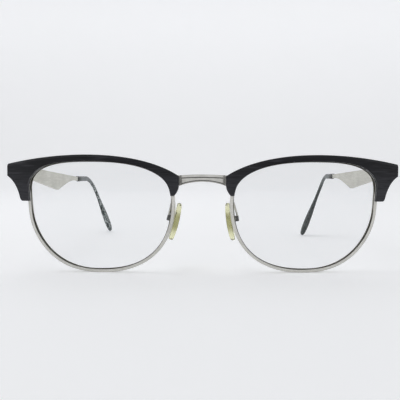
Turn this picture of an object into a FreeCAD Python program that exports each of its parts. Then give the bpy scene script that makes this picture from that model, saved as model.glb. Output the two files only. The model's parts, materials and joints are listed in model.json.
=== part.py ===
import FreeCAD, Part
import math
import os
import Sketcher

from FreeCAD import Placement, Rotation, Vector

# Browline glasses, open, standing on the lower rims and the temple tips.
# Millimetres. X runs across the face (+X is the wearer's left), -Y is the front, +Z is up.
# The origin is the middle of the footprint, on the surface that the glasses stand on.

X_AXIS = Vector(1, 0, 0)
Y_AXIS = Vector(0, 1, 0)
Z_AXIS = Vector(0, 0, 1)

SIZES = {
    # eye opening, seen square to the lens
    "eye_width": 50.8,
    "eye_height": 37.7,
    "eye_gap": 21.6,
    "top_point_shift": 3.5,
    "bottom_point_shift": 0.3,
    "temporal_point_rise": 9.0,
    "nasal_point_rise": 5.2,
    "top_temporal_squareness": 2.8,
    "top_nasal_squareness": 2.45,
    "bottom_nasal_squareness": 2.48,
    "bottom_temporal_squareness": 2.17,
    "base_radius": 130.0,
    "face_form_angle": 4.0,
    # rim and lens
    "rim_width": 1.0,
    "rim_depth": 2.2,
    "groove_depth": 0.5,
    "lens_thickness": 1.2,
    "lens_clearance": 0.03,
    "rim_split_rise": 10.5,
    "rim_split_gap": 0.2,
    # closing blocks and their screw
    "block_height": 2.7,
    "block_reach": 2.9,
    "closing_screw_inset": 1.0,
    "closing_screw_radius": 0.4,
    "closing_head_radius": 0.7,
    "closing_head_height": 0.5,
    # brow
    "brow_wall": 1.6,
    "brow_end_reach": 9.1,
    "brow_end_drop": 0.85,
    "brow_end_height": 4.3,
    "brow_end_slant": 0.4,
    "brow_end_block": 3.0,
    "brow_crown_temporal_run": 20.0,
    "brow_crown_temporal_rise": 4.0,
    "brow_crown_nasal_run": 15.0,
    "brow_crown_nasal_rise": 10.0,
    "brow_nasal_reach": 2.55,
    "brow_nasal_drop": 5.18,
    "brow_nasal_side": 3.2,
    "brow_nasal_tip_rise": 6.85,
    "brow_nasal_tip_width": 1.0,
    "brow_foot_rise": 4.85,
    "brow_foot_reach": 2.0,
    "brow_foot_corner": 0.95,
    "brow_hollow_low_run": 0.8,
    "brow_hollow_low_rise": 2.7,
    "brow_hollow_high_run": 3.4,
    "brow_hollow_high_rise": 1.9,
    "brow_lip_shift": -1.25,
    "brow_lip_radius": 120.0,
    "brow_facet_height": 0.9,
    "brow_facet_depth": 0.45,
    # brow screws
    "brow_screw_radius": 0.4,
    "brow_screw_grip": 1.0,
    "brow_head_radius": 0.8,
    "brow_head_height": 0.45,
    "brow_nasal_screw_seat": 0.9,
    "brow_nasal_screw_drop": 0.8,
    "brow_temporal_screw_inset": 3.6,
    # bridge
    "bridge_rise": 14.3,
    "bridge_height": 2.6,
    "bridge_thickness": 1.5,
    "bridge_setback": 0.6,
    "bridge_bow_radius": 62.0,
    "bridge_top_radius": 110.0,
    "bridge_arch_radius": 24.0,
    "bridge_lap": 4.5,
    "bridge_top_line_inset": 0.9,
    "bridge_low_line_inset": 0.3,
    "bridge_line_width": 0.32,
    "bridge_line_depth": 0.3,
    "bridge_line_half_length": 7.6,
    # end piece and hinge
    "strip_height": 3.5,
    "strip_thickness": 1.1,
    "hinge_inset": 2.8,
    "hinge_setback": 5.8,
    "hinge_height": 3.5,
    "barrel_radius": 1.1,
    "barrel_gap": 0.06,
    "hinge_arm_thickness": 1.1,
    "hinge_arm_inset": 0.7,
    "hinge_arm_length": 9.0,
    "hinge_screw_radius": 0.5,
    "hinge_head_radius": 0.85,
    "hinge_head_height": 0.45,
    "hinge_running_clearance": 0.04,
    "hinge_swing_clearance": 0.2,
    "leaf_length": 7.0,
    "leaf_thickness": 0.7,
    "leaf_foot_length": 4.8,
    "leaf_foot_height": 2.7,
    # temple
    "temple_thickness": 1.2,
    "temple_toe_in_angle": 1.2,
    "temple_front_height": 3.3,
    "temple_lead": 1.9,
    "temple_butt_gap": 0.25,
    "temple_corner_reach": 40.3,
    "temple_corner_height": 7.8,
    "temple_corner_radius": 2.5,
    "temple_taper_length": 19.0,
    "temple_throat_length": 10.2,
    "temple_throat_radius": 55.0,
    "temple_end_height": 2.0,
    "temple_core_radius": 0.45,
    "temple_core_lap": 4.0,
    "temple_core_end_gap": 0.5,
    # temples and tips, bent by hand to fit, so each side has its own slope and bend
    "left_temple_slope_angle": 2.27,
    "right_temple_slope_angle": 3.62,
    "left_tip_straight": 17.0,
    "left_tip_bend_radius": 3.5,
    "left_tip_drop_run": 0.5,
    "left_tip_inset": 12.9,
    "right_tip_straight": 27.0,
    "right_tip_bend_radius": 13.0,
    "right_tip_drop_run": 9.0,
    "right_tip_inset": 9.6,
    "tip_end_height": 0.4,
    "tip_neck_height": 2.75,
    "tip_neck_thickness": 1.6,
    "tip_paddle_height": 5.6,
    "tip_paddle_thickness": 3.0,
    "tip_paddle_length": 24.0,
    "tip_paddle_round": 8.0,
    # nose pads
    "pad_length": 13.9,
    "pad_width": 7.5,
    "pad_thickness": 2.2,
    "pad_crown_radius": 45.0,
    "pad_inset": 0.9,
    "pad_setback": 8.0,
    "pad_drop": 2.9,
    "left_pad_tilt_angle": 8.7,
    "right_pad_tilt_angle": 14.1,
    "pad_splay_angle": 7.0,
    "pad_box_width": 2.0,
    "pad_box_depth": 1.9,
    "pad_box_height": 1.9,
    "pad_box_gap": 0.4,
    "pad_box_rise": 0.85,
    "pad_slot_width": 1.0,
    "pad_lug_clearance": 0.08,
    "pad_lug_radius": 0.6,
    "pad_screw_radius": 0.3,
    "pad_screw_clearance": 0.03,
    "pad_head_radius": 0.55,
    "pad_head_height": 0.35,
    "pad_plate_length": 5.0,
    "pad_plate_width": 2.6,
    "pad_plate_thickness": 0.5,
    "pad_plate_cover": 0.3,
    "pad_arm_radius": 0.36,
    "pad_arm_root_rise": -0.6,
    "pad_arm_back": 4.0,
    "pad_arm_outward": 0.3,
    "pad_arm_lead": 0.5,
    "pad_arm_bend_radius": 1.3,
}

OUTLINE_STEPS = 4
PADDLE_STEPS = 16
PADDLE_ROUNDNESS = 3
PADDLE_BLUNT_END = 0.02
PRISM_DEPTH = 60.0
EDGE_MATCH = 0.05
START = 1
END = 2

doc = FreeCAD.newDocument("browline_glasses")
sheet = doc.addObject("Spreadsheet::Sheet", "Sizes")
for row, (alias, value) in enumerate(SIZES.items(), start=1):
    sheet.set(f"A{row}", alias)
    sheet.set(f"B{row}", str(value))
    sheet.setAlias(f"B{row}", alias)
doc.recompute()


def size(alias):
    return float(sheet.get(alias))


# Small builders for document objects

def box(name, length, width, height, center):
    """A box around a centre placement, with its three sizes given as sheet expressions."""
    item = doc.addObject("Part::Box", name)
    sides = {"Length": length, "Width": width, "Height": height}
    for side, expression in sides.items():
        item.setExpression(side, expression)
    half = [float(item.evalExpression(expression)) / 2 for expression in sides.values()]
    item.Placement = center.multiply(Placement(Vector(*half).negative(), Rotation()))
    return item


def cylinder(name, radius, height, foot):
    """A cylinder that stands on the foot placement, along that placement's own Z."""
    item = doc.addObject("Part::Cylinder", name)
    item.setExpression("Radius", radius)
    item.setExpression("Height", height)
    item.Placement = foot
    return item


def sphere(name, radius, center):
    item = doc.addObject("Part::Sphere", name)
    item.setExpression("Radius", radius)
    item.Placement = Placement(center, Rotation())
    return item


def solid(name, shape, place):
    """A shape worked out by a formula, as an object of the document."""
    item = doc.addObject("Part::Feature", name)
    item.Shape = shape
    item.Placement = place
    return item


def cut(name, base, *tools):
    for number, tool in enumerate(tools, start=1):
        last = number == len(tools)
        item = doc.addObject("Part::Cut", name if last else f"{name}_cut_{number}")
        item.Base = base
        item.Tool = tool
        base = item
    return base


def fuse(name, *items):
    item = doc.addObject("Part::MultiFuse", name)
    item.Shapes = list(items)
    return item


def common(name, *items):
    item = doc.addObject("Part::MultiCommon", name)
    item.Shapes = list(items)
    return item


def shifted(place, x=0.0, y=0.0, z=0.0):
    return place.multiply(Placement(Vector(x, y, z), Rotation()))


def aimed(point, direction):
    """A placement at a point whose own Z looks along a direction."""
    return Placement(point, Rotation(Z_AXIS, direction))


def screw(name, seat, radius, length, head_radius, head_height):
    """A slotted screw: its shank runs along the seat's +Z, its head stands behind the seat."""
    shank = cylinder(f"{name}_shank", radius, length, seat)
    head_foot = shifted(seat, z=-float(shank.evalExpression(head_height)))
    head = cylinder(f"{name}_head", head_radius, head_height, head_foot)
    slot = box(f"{name}_slot", f"2.2 * {head_radius}", f"0.3 * {head_radius}", head_height, head_foot)
    return cut(name, fuse(f"{name}_blank", shank, head), slot)


def rounded_path(corners, radius):
    """Straight runs through the corners, with a tangent arc of one radius at each inner corner."""
    edges = []
    start = corners[0]
    for before, corner, after in zip(corners, corners[1:], corners[2:]):
        back = (before - corner).normalize()
        ahead = (after - corner).normalize()
        half_turn = (math.pi - back.getAngle(ahead)) / 2
        trim = radius * math.tan(half_turn)
        enter = corner + back * trim
        leave = corner + ahead * trim
        bisector = (back + ahead).normalize()
        middle = corner + bisector * (radius / math.cos(half_turn) - radius)
        edges.append(Part.LineSegment(start, enter).toShape())
        edges.append(Part.Arc(enter, middle, leave).toShape())
        start = leave
    edges.append(Part.LineSegment(start, corners[-1]).toShape())
    return Part.Wire(edges)


def wire_along(path, radius):
    """A round wire along a path."""
    first = path.OrderedEdges[0]
    start = first.valueAt(first.FirstParameter)
    direction = first.tangentAt(first.FirstParameter)
    profile = Part.Wire(Part.Circle(start, direction, radius).toShape())
    return path.makePipeShell([profile], True, False)


# Eye outline: a superellipse quarter between each two of its four extreme points

half_width = size("eye_width") / 2
half_height = size("eye_height") / 2
base_radius = size("base_radius")
rim_front = size("rim_depth") / 2
wall_front = rim_front + size("brow_wall")
face_form = math.radians(size("face_form_angle"))

TOP = (size("top_point_shift"), half_height)
BOTTOM = (size("bottom_point_shift"), -half_height)
TEMPORAL = (half_width, size("temporal_point_rise"))
NASAL = (-half_width, size("nasal_point_rise"))

EYE_QUARTERS = [
    (TOP, TEMPORAL, size("top_temporal_squareness"), 0),
    (TOP, NASAL, size("top_nasal_squareness"), 1),
    (BOTTOM, NASAL, size("bottom_nasal_squareness"), 2),
    (BOTTOM, TEMPORAL, size("bottom_temporal_squareness"), 3),
]


def eye_points(offset):
    """Points of the eye outline as (across, up), moved out along the outline's normal."""
    points = []
    for (pole_u, pole_v), (side_u, side_v), power, quarter in EYE_QUARTERS:
        reach_u = abs(side_u - pole_u)
        reach_v = abs(pole_v - side_v)
        for step in range(OUTLINE_STEPS):
            angle = (quarter + step / OUTLINE_STEPS) * math.pi / 2
            cosine = math.cos(angle)
            sine = math.sin(angle)
            stretch = (abs(cosine) ** power + abs(sine) ** power) ** (-1 / power)
            u = stretch * cosine
            v = stretch * sine
            normal_u = math.copysign(abs(u) ** (power - 1), u) / reach_u
            normal_v = math.copysign(abs(v) ** (power - 1), v) / reach_v
            scale = offset / math.hypot(normal_u, normal_v)
            points.append((pole_u + reach_u * u + normal_u * scale, side_v + reach_v * v + normal_v * scale))
    return points


def flat(u, v):
    """A point of the eye's own front-view plane."""
    return Vector(u, 0, v)


def eye_wire(offset):
    curve = Part.BSplineCurve()
    curve.interpolate([flat(u, v) for u, v in eye_points(offset)], PeriodicFlag=True)
    return Part.Wire(curve.toShape())


def through(face):
    """A prism that runs through the front from before it to behind it."""
    face.translate(Vector(0, -PRISM_DEPTH / 2, 0))
    return face.extrude(Vector(0, PRISM_DEPTH, 0))


def surface_depth(u, v, front):
    """How far behind the eye's apex plane the curved front lies, at a distance before the rim's middle."""
    return base_radius - math.sqrt((base_radius + front) ** 2 - u * u - v * v)


# Where the main points lie, first with the eye's apex at y = 0

end_u = half_width + size("brow_end_reach")
end_top_v = half_height - size("brow_end_drop")
hinge_v = end_top_v - size("brow_end_height") / 2

eye_rotation = Rotation(Z_AXIS, size("face_form_angle"))
eye_center_x = size("eye_gap") / 2 + half_width
eye_center_z = half_height + size("rim_width")

end_point = eye_rotation.multVec(Vector(end_u, surface_depth(end_u, hinge_v, 0), 0))
hinge_x = eye_center_x + end_point.x - size("hinge_inset")
hinge_back = end_point.y + size("hinge_setback")
hinge_z = eye_center_z + hinge_v

temple_rotation = Rotation(Z_AXIS, size("temple_toe_in_angle"))
temple_top_z = hinge_z + size("temple_front_height") / 2
temple_side = size("barrel_radius") + size("hinge_swing_clearance")
temple_middle = temple_side + size("temple_thickness") / 2
metal_reach = size("temple_corner_reach") + size("temple_taper_length") + size("temple_throat_length")


def tip_corners(side):
    """The tip's middle line in the temple's own frame: level from the metal's end, then down."""
    slope = math.tan(math.radians(size(f"{side}_temple_slope_angle")))
    level = -slope * metal_reach - size("temple_end_height") / 2
    bend = metal_reach + size(f"{side}_tip_straight")
    start = Vector(temple_middle, metal_reach, level)
    corner = Vector(temple_middle, bend, level)
    end_x = temple_middle - size(f"{side}_tip_inset")
    end = Vector(end_x, bend + size(f"{side}_tip_drop_run"), size("tip_end_height") - temple_top_z)
    return start, corner, end


tip_back = hinge_back + size("tip_end_height")
tip_back += max(temple_rotation.multVec(tip_corners(side)[-1]).y for side in ("left", "right"))

brow_front = min(
    u * math.sin(face_form) + surface_depth(u, v, wall_front) * math.cos(face_form)
    for u, v in eye_points(0)
    if v > size("brow_foot_rise")
)

# The whole is then moved so that the footprint's middle is the origin
front_y = -(brow_front + tip_back) / 2

eye_place = Placement(Vector(eye_center_x, front_y, eye_center_z), eye_rotation)
sphere_center = eye_place.multVec(Vector(0, base_radius, 0))
hinge_axis = Vector(hinge_x, front_y + hinge_back, hinge_z)
temple_place = Placement(Vector(hinge_axis.x, hinge_axis.y, temple_top_z), temple_rotation)


def front_point(u, v, front):
    """A point on the curved front, at a distance before the middle of the rim's depth, and its normal."""
    inward = Vector(0, base_radius, 0) - flat(u, v) - Vector(0, surface_depth(u, v, 0), 0)
    normal = eye_rotation.multVec(inward.normalize().negative())
    return sphere_center + normal * (base_radius + front), normal


def shell(name, front, back):
    """The layer of the curved front between two distances before the rim's middle."""
    outer = sphere(f"{name}_outer", f"Sizes.base_radius + {front}", sphere_center)
    inner = sphere(f"{name}_inner", f"Sizes.base_radius + {back}", sphere_center)
    return cut(name, outer, inner)


RIM_FRONT = "Sizes.rim_depth / 2"
RIM_BACK = "-Sizes.rim_depth / 2"
WALL_FRONT = "(Sizes.rim_depth / 2 + Sizes.brow_wall)"

rim_layer = shell("rim_layer", RIM_FRONT, RIM_BACK)
rim_envelope = solid("rim_envelope", through(Part.Face(eye_wire(size("rim_width")))), eye_place)
eye_void = solid("eye_void", through(Part.Face(eye_wire(0))), eye_place)


# Rim and lens

def make_rim():
    split_center = shifted(eye_place, half_width, 0, size("rim_split_rise"))
    across = "Sizes.eye_width / 4"
    split = box("rim_split", across, "2 * Sizes.eye_width", "Sizes.rim_split_gap", split_center)
    prism = cut("rim_prism", rim_envelope, eye_void, split)
    groove_prism = solid("groove_prism", through(Part.Face(eye_wire(size("groove_depth")))), eye_place)
    groove_half = "(Sizes.lens_thickness / 2 + Sizes.lens_clearance)"
    groove_layer = shell("groove_layer", groove_half, f"-{groove_half}")
    groove = common("rim_groove", groove_prism, groove_layer)
    return cut("left_rim", common("rim_square", prism, rim_layer), groove)


def make_lens():
    outline = eye_wire(size("groove_depth") - size("lens_clearance"))
    prism = solid("lens_prism", through(Part.Face(outline)), eye_place)
    layer = shell("lens_layer", "Sizes.lens_thickness / 2", "-Sizes.lens_thickness / 2")
    return common("left_lens", prism, layer)


# Closing blocks, which hold the split rim shut

block_u = half_width + size("block_reach")
closing_u = block_u - size("closing_screw_inset")


def make_closing_screw():
    under = size("rim_split_rise") - size("rim_split_gap") / 2 - size("block_height")
    depth = surface_depth(closing_u, size("rim_split_rise"), 0)
    seat = shifted(eye_place, closing_u, depth, under + size("closing_head_height"))
    length = "2 * Sizes.block_height + Sizes.rim_split_gap - 2 * Sizes.closing_head_height"
    return screw(
        "left_closing_screw",
        seat,
        "Sizes.closing_screw_radius",
        length,
        "Sizes.closing_head_radius",
        "Sizes.closing_head_height",
    )


def make_closing_block(name, side, closing_screw):
    rise = size("rim_split_rise") + side * (size("rim_split_gap") + size("block_height")) / 2
    center = shifted(eye_place, block_u - size("eye_width") / 8, 0, rise)
    blank = box(f"{name}_blank", "Sizes.eye_width / 4", "20 * Sizes.rim_depth", "Sizes.block_height", center)
    bent = common(f"{name}_bent", blank, rim_layer)
    return cut(name, bent, rim_envelope, closing_screw)


# Brow bar, its end block beside the hinge and its two screws

end_top = flat(end_u, end_top_v)
nasal_top = flat(-half_width - size("brow_nasal_reach"), half_height - size("brow_nasal_drop"))


def brow_outline():
    """Front-view outline of the brow, closed across the eye opening, which is cut away later."""
    end_low = flat(end_u - size("brow_end_slant"), end_top_v - size("brow_end_height"))
    nasal_low = nasal_top - flat(0, size("brow_nasal_side"))
    tip_outer = flat(-half_width - size("brow_nasal_tip_width"), size("brow_nasal_tip_rise"))
    tip_inside = flat(-half_width / 2, size("brow_nasal_tip_rise"))
    foot_inside = flat(half_width / 2, size("brow_foot_rise"))
    foot_low = flat(half_width + size("brow_foot_reach"), size("brow_foot_rise"))
    foot_side = foot_low + flat(size("brow_foot_corner"), size("brow_foot_corner"))

    crown = Part.BezierCurve()
    crown.setPoles([
        end_top,
        end_top + flat(-size("brow_crown_temporal_run"), size("brow_crown_temporal_rise")),
        nasal_top + flat(size("brow_crown_nasal_run"), size("brow_crown_nasal_rise")),
        nasal_top,
    ])
    nasal_sweep = Part.BezierCurve()
    nasal_sweep.setPoles([nasal_low, flat(nasal_low.x, (nasal_low.z + tip_outer.z) / 2), tip_outer])
    foot_round = Part.BezierCurve()
    foot_round.setPoles([foot_low, foot_low + flat(size("brow_foot_corner") / 2, 0), foot_side])
    end_sweep = Part.BezierCurve()
    end_sweep.setPoles([
        foot_side,
        foot_side + flat(size("brow_hollow_low_run"), size("brow_hollow_low_rise")),
        end_low - flat(size("brow_hollow_high_run"), size("brow_hollow_high_rise")),
        end_low,
    ])
    return Part.Wire([
        crown.toShape(),
        Part.LineSegment(nasal_top, nasal_low).toShape(),
        nasal_sweep.toShape(),
        Part.LineSegment(tip_outer, tip_inside).toShape(),
        Part.LineSegment(tip_inside, foot_inside).toShape(),
        Part.LineSegment(foot_inside, foot_low).toShape(),
        foot_round.toShape(),
        end_sweep.toShape(),
        Part.LineSegment(end_low, end_top).toShape(),
    ])


def brow_front_edge(shape, *ends):
    """The number of the edge on the brow's front face that comes nearest to two points of the front view."""
    corners = [
        eye_place.multVec(end + Vector(0, surface_depth(end.x, end.z, wall_front), 0))
        for end in ends
    ]

    def miss(edge):
        return max(min((vertex.Point - corner).Length for vertex in edge.Vertexes) for corner in corners)

    misses = [miss(edge) for edge in shape.Edges]
    return misses.index(min(misses)) + 1


def make_brow(*screws):
    prism = solid("brow_prism", through(Part.Face(brow_outline())), eye_place)
    wall_layer = shell("brow_wall_layer", WALL_FRONT, RIM_FRONT)
    wall = cut("brow_wall", common("brow_wall_blank", prism, wall_layer), eye_void)

    lip_depth = surface_depth(size("brow_lip_shift"), half_height, -rim_front) - size("brow_lip_radius")
    lip_center = eye_place.multVec(Vector(size("brow_lip_shift"), lip_depth, half_height))
    lip_ball = sphere("brow_lip_ball", "Sizes.brow_lip_radius", lip_center)
    lip = cut("brow_lip", common("brow_lip_blank", prism, rim_layer, lip_ball), rim_envelope)

    front_ball = sphere("brow_front_ball", f"Sizes.base_radius + {WALL_FRONT}", sphere_center)
    butt_y = hinge_back - size("temple_lead") - size("temple_butt_gap")
    end_back = (butt_y - end_u * math.sin(face_form)) / math.cos(face_form)
    zone_u = end_u - size("brow_end_block") / 2
    zone_center = shifted(eye_place, zone_u, end_back - half_width, hinge_v)
    block = "Sizes.brow_end_block"
    zone = box("brow_end_zone", block, "Sizes.eye_width", "Sizes.brow_end_height", zone_center)
    end_block = common("brow_end", prism, zone, front_ball)
    blank = fuse("brow_blank", wall, lip, end_block)
    doc.recompute()

    facet = doc.addObject("Part::Chamfer", "brow_facet")
    facet.Base = blank
    upper_edge = brow_front_edge(blank.Shape, end_top, nasal_top)
    facet.Edges = [(upper_edge, size("brow_facet_depth"), size("brow_facet_height"))]
    return cut("left_brow", facet, *screws)


def make_brow_screw(name, u, v, seat_front):
    """A screw that runs forward into the brow's wall, square to it, from a seat behind it."""
    seat, normal = front_point(u, v, seat_front)
    return screw(
        name,
        aimed(seat, normal),
        "Sizes.brow_screw_radius",
        f"Sizes.rim_depth / 2 + Sizes.brow_screw_grip - ({seat_front})",
        "Sizes.brow_head_radius",
        "Sizes.brow_head_height",
    )


# Bridge: a bar bowed forward, arched below, with two engraved lines along it

bridge_top_z = eye_center_z + size("bridge_rise")
bridge_low_z = bridge_top_z - size("bridge_height")
bridge_front_y = front_y + size("bridge_setback")


def bridge_ring(name, outer, inner, foot):
    """A long ring between two radii, used to bend the bridge."""
    outside = cylinder(f"{name}_outer", outer, "4 * Sizes.eye_gap", foot)
    inside = cylinder(f"{name}_inner", inner, "4 * Sizes.eye_gap", foot)
    return cut(name, outside, inside)


def make_bridge(cutters):
    reach = 2 * size("eye_gap")
    across = Rotation(X_AXIS, -90)
    start_y = bridge_front_y - reach
    bow_radius = "Sizes.bridge_bow_radius"
    plan_foot = Placement(Vector(0, bridge_front_y + size("bridge_bow_radius"), -reach), Rotation())
    top_foot = Placement(Vector(0, start_y, bridge_top_z - size("bridge_top_radius")), across)
    arch_foot = Placement(Vector(0, start_y, bridge_low_z - size("bridge_arch_radius")), across)
    bow = bridge_ring("bridge_bow", bow_radius, f"{bow_radius} - Sizes.bridge_thickness", plan_foot)
    crown = cylinder("bridge_crown", "Sizes.bridge_top_radius", "4 * Sizes.eye_gap", top_foot)
    arch = cylinder("bridge_arch", "Sizes.bridge_arch_radius", "4 * Sizes.eye_gap", arch_foot)
    middle = Placement(Vector(0, bridge_front_y, bridge_top_z), Rotation())
    bar_length = "Sizes.eye_gap + 2 * Sizes.bridge_lap"
    zone = box("bridge_zone", bar_length, "Sizes.eye_gap", "Sizes.eye_gap / 2", middle)
    bar = cut("bridge_bar", common("bridge_bent", bow, crown, zone), arch)

    skin = bridge_ring("bridge_skin", bow_radius, f"{bow_radius} - Sizes.bridge_line_depth", plan_foot)
    line_length = "2 * Sizes.bridge_line_half_length"
    line_zone = box("bridge_line_zone", line_length, "Sizes.eye_gap", "Sizes.eye_gap", middle)
    top_line = bridge_ring(
        "bridge_top_line",
        "Sizes.bridge_top_radius - Sizes.bridge_top_line_inset",
        "Sizes.bridge_top_radius - Sizes.bridge_top_line_inset - Sizes.bridge_line_width",
        top_foot,
    )
    low_line = bridge_ring(
        "bridge_low_line",
        "Sizes.bridge_arch_radius + Sizes.bridge_low_line_inset + Sizes.bridge_line_width",
        "Sizes.bridge_arch_radius + Sizes.bridge_low_line_inset",
        arch_foot,
    )
    top_groove = common("bridge_top_groove", top_line, skin, line_zone)
    low_groove = common("bridge_low_groove", low_line, skin, line_zone)
    span = "Sizes.eye_gap"
    end_grooves = []
    for name, side in (("left", 1), ("right", -1)):
        end_place = shifted(middle, side * size("bridge_line_half_length"))
        end_zone = box(f"bridge_{name}_end", "Sizes.bridge_line_width", span, span, end_place)
        end_grooves.append(common(f"bridge_{name}_end_groove", end_zone, skin))
    return cut("bridge", bar, top_groove, low_groove, *end_grooves, *cutters)


# End piece: a strip from the rim along the back of the brow

strip_back = "(Sizes.rim_depth / 2 - Sizes.strip_thickness)"
strip_back_front = rim_front - size("strip_thickness")


def make_end_piece(brow_screw):
    layer = shell("strip_layer", RIM_FRONT, strip_back)
    outer_u = end_u - size("brow_end_block") - size("hinge_swing_clearance")
    center = shifted(eye_place, outer_u - half_width / 4, 0, hinge_v)
    zone = box("strip_zone", "Sizes.eye_width / 4", "Sizes.eye_width", "Sizes.strip_height", center)
    return cut("left_end_piece", common("strip_bent", zone, layer), rim_envelope, brow_screw)


# Hinge: two barrels on the front, one on the temple, and the screw through them

barrel_height = "(Sizes.hinge_height - 2 * Sizes.barrel_gap) / 3"
barrel_pitch = (size("hinge_height") - 2 * size("barrel_gap")) / 3 + size("barrel_gap")
hinge_low = hinge_axis - Z_AXIS * (size("hinge_height") / 2)


def make_hinge_screw():
    seat = Placement(hinge_low + Z_AXIS * size("hinge_height"), Rotation(X_AXIS, 180))
    return screw(
        "left_hinge_screw",
        seat,
        "Sizes.hinge_screw_radius",
        "Sizes.hinge_height",
        "Sizes.hinge_head_radius",
        "Sizes.hinge_head_height",
    )


def barrel(name, level):
    foot = Placement(hinge_low + Z_AXIS * (level * barrel_pitch), Rotation())
    return cylinder(name, "Sizes.barrel_radius", barrel_height, foot)


def make_front_hinge(hinge_screw):
    arm_outer = hinge_axis.x - size("hinge_arm_inset")
    arm_length = size("hinge_arm_length")
    center = Vector(arm_outer - size("hinge_arm_thickness") / 2, hinge_axis.y - arm_length / 2, hinge_axis.z)
    arm_box = box(
        "front_arm_box",
        "Sizes.hinge_arm_thickness",
        "Sizes.hinge_arm_length",
        "Sizes.hinge_height",
        Placement(center, Rotation()),
    )
    strip_ball = sphere("strip_ball", f"Sizes.base_radius + {strip_back}", sphere_center)
    arm = common("front_arm", arm_box, strip_ball)
    body = fuse("front_hinge_blank", arm, barrel("front_barrel_low", 0), barrel("front_barrel_top", 2))
    gap_foot = Placement(hinge_low + Z_AXIS * (barrel_pitch - size("barrel_gap")), Rotation())
    gap = cylinder(
        "front_hinge_gap",
        "Sizes.barrel_radius + Sizes.hinge_swing_clearance",
        f"{barrel_height} + 2 * Sizes.barrel_gap",
        gap_foot,
    )
    return cut("left_front_hinge", body, gap, hinge_screw)


# Temple: a flat plate that deepens to a lower corner and narrows to the wire inside the tip

def origin_plane(body, role):
    return next(feature for feature in body.Origin.OriginFeatures if feature.Role == role)


def polygon_sketch(body, role, name, corners):
    """A closed polygon on one of the body's own planes, each corner given by two sheet expressions."""
    sketch = body.newObject("Sketcher::SketchObject", name)
    sketch.AttachmentSupport = (origin_plane(body, role), [""])
    sketch.MapMode = "FlatFace"
    points = [
        Vector(float(sketch.evalExpression(across)), float(sketch.evalExpression(up)), 0)
        for across, up in corners
    ]
    count = len(points)
    for index in range(count):
        sketch.addGeometry(Part.LineSegment(points[index], points[(index + 1) % count]), False)
    for index in range(count):
        sketch.addConstraint(Sketcher.Constraint("Coincident", index, END, (index + 1) % count, START))
    for index, expressions in enumerate(corners):
        for kind, expression in zip(("DistanceX", "DistanceY"), expressions):
            value = float(sketch.evalExpression(expression))
            number = sketch.addConstraint(Sketcher.Constraint(kind, -1, START, index, START, value))
            sketch.setExpression(f"Constraints[{number}]", expression)
    return sketch


def edge_at(shape, y, z):
    """The name of the crosswise edge that stands at a point of the side view."""
    for number, edge in enumerate(shape.Edges, start=1):
        if all(math.hypot(vertex.Y - y, vertex.Z - z) < EDGE_MATCH for vertex in edge.Vertexes):
            return f"Edge{number}"
    raise ValueError("no edge stands at that point")


def temple_top(side, reach):
    return f"(-{reach} * tan(Sizes.{side}_temple_slope_angle))"


def make_temple_plate(side):
    body = doc.addObject("PartDesign::Body", f"{side}_temple_plate")
    lead = "-Sizes.temple_lead"
    corner = "Sizes.temple_corner_reach"
    throat = f"({corner} + Sizes.temple_taper_length)"
    metal = f"({throat} + Sizes.temple_throat_length)"
    corners = [
        (lead, temple_top(side, lead)),
        (metal, temple_top(side, metal)),
        (metal, f"{temple_top(side, metal)} - Sizes.temple_end_height"),
        (throat, f"{temple_top(side, throat)} - Sizes.temple_end_height"),
        (corner, f"{temple_top(side, corner)} - Sizes.temple_corner_height"),
        (lead, f"{temple_top(side, lead)} - Sizes.temple_front_height"),
    ]
    sketch = polygon_sketch(body, "YZ_Plane", f"{side}_temple_outline", corners)
    sketch.AttachmentOffset = Placement(Vector(0, 0, temple_side), Rotation())
    pad = body.newObject("PartDesign::Pad", f"{side}_temple_pad")
    pad.Profile = sketch
    pad.setExpression("Length", "Sizes.temple_thickness")
    doc.recompute()
    last = pad
    for name, (across, up) in (("throat", corners[3]), ("corner", corners[4])):
        y = float(pad.evalExpression(across))
        z = float(pad.evalExpression(up))
        fillet = body.newObject("PartDesign::Fillet", f"{side}_temple_{name}")
        fillet.Base = (last, [edge_at(last.Shape, y, z)])
        fillet.setExpression("Radius", f"Sizes.temple_{name}_radius")
        doc.recompute()
        last = fillet
    body.Placement = temple_place
    return body


def tip_path(side):
    return rounded_path(tip_corners(side), size(f"{side}_tip_bend_radius"))


def make_temple_core(side):
    """The wire end of the temple, which the tip is pushed onto and which stops short of its bend."""
    straight = tip_path(side).OrderedEdges[0]
    along = straight.tangentAt(straight.FirstParameter)
    start = straight.valueAt(straight.FirstParameter)
    foot = temple_place.multiply(aimed(start - along * size("temple_core_lap"), along))
    length = f"{straight.Length} + Sizes.temple_core_lap - Sizes.temple_core_end_gap"
    return cylinder(f"{side}_temple_core", "Sizes.temple_core_radius", length, foot)


def oval(center, along, flat_side, height, thickness):
    """An oval section square to the tip's middle line, taller than it is thick."""
    upright = along.cross(flat_side)
    curve = Part.Ellipse(center + upright * (height / 2), center + flat_side * (thickness / 2), center)
    return Part.Wire(curve.toShape())


def eased(start, end, share):
    """A smooth change from one value to another."""
    share = min(max(share, 0.0), 1.0)
    return start + (end - start) * share * share * (3 - 2 * share)


def tip_section(from_end):
    """Height and thickness of the tip at a distance before its end: sleeve, broadest place, rounded end."""
    paddle = size("tip_paddle_length")
    rounded = size("tip_paddle_round")
    swelling = (paddle - from_end) / (paddle - rounded)
    closing = max(0.0, 1 - from_end / rounded)
    rounding = (1 - (1 - PADDLE_BLUNT_END) * closing ** PADDLE_ROUNDNESS) ** (1 / PADDLE_ROUNDNESS)
    height = eased(size("tip_neck_height"), size("tip_paddle_height"), swelling)
    thickness = eased(size("tip_neck_thickness"), size("tip_paddle_thickness"), swelling)
    return height * rounding, thickness * rounding


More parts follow.
